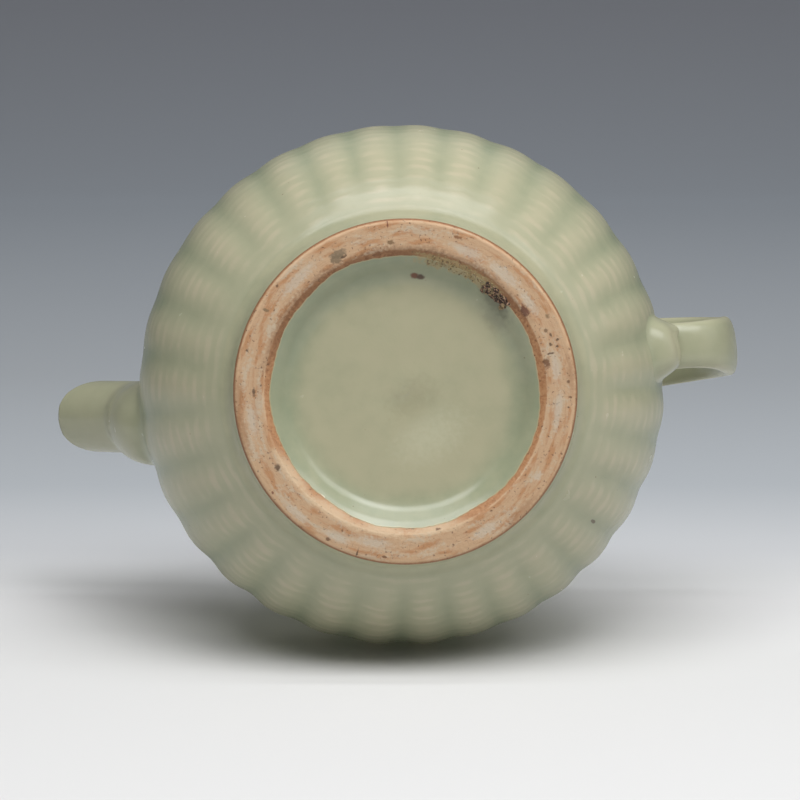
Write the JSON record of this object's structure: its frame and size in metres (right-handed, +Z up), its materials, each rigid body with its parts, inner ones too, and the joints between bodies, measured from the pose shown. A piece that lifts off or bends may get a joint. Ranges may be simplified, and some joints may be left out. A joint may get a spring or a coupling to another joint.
{
  "type": "ribbed celadon teapot",
  "caption": "Squat ribbed teapot in pale green celadon glaze with a bare clay foot ring, curved spout, strap handle and lift-off lid, for brewing and pouring tea.",
  "frame": {"origin": "centre of the foot ring on the plane that the pot stands on", "axes": "+Z up along the pot's axis, +X from the spout towards the handle, +Y to the left of +X"},
  "size_m": [0.1759, 0.1298, 0.1134],
  "materials": {
    "celadon_glaze": "soft gloss celadon glaze, pale on the rib crests and greener in the grooves",
    "bare_clay": "unglazed fired stoneware, burnt orange at the edges, paler where worn"
  },
  "bodies": {
    "pot": {"foot_ring": "bare_clay", "lower_bowl": "celadon_glaze", "upper_bowl": "celadon_glaze", "neck_collar": "celadon_glaze", "spout": "celadon_glaze", "handle_strap": "celadon_glaze", "handle_pad": "celadon_glaze"},
    "lid": {"lid_cap": "celadon_glaze", "lid_flange": "bare_clay", "lid_knob": "celadon_glaze"}
  },
  "joints": [
    {"name": "lid_lift", "type": "slide", "parent": "pot", "child": "lid", "axis": [0, 0, 1], "range_m": [0, 0.032]}
  ]
}
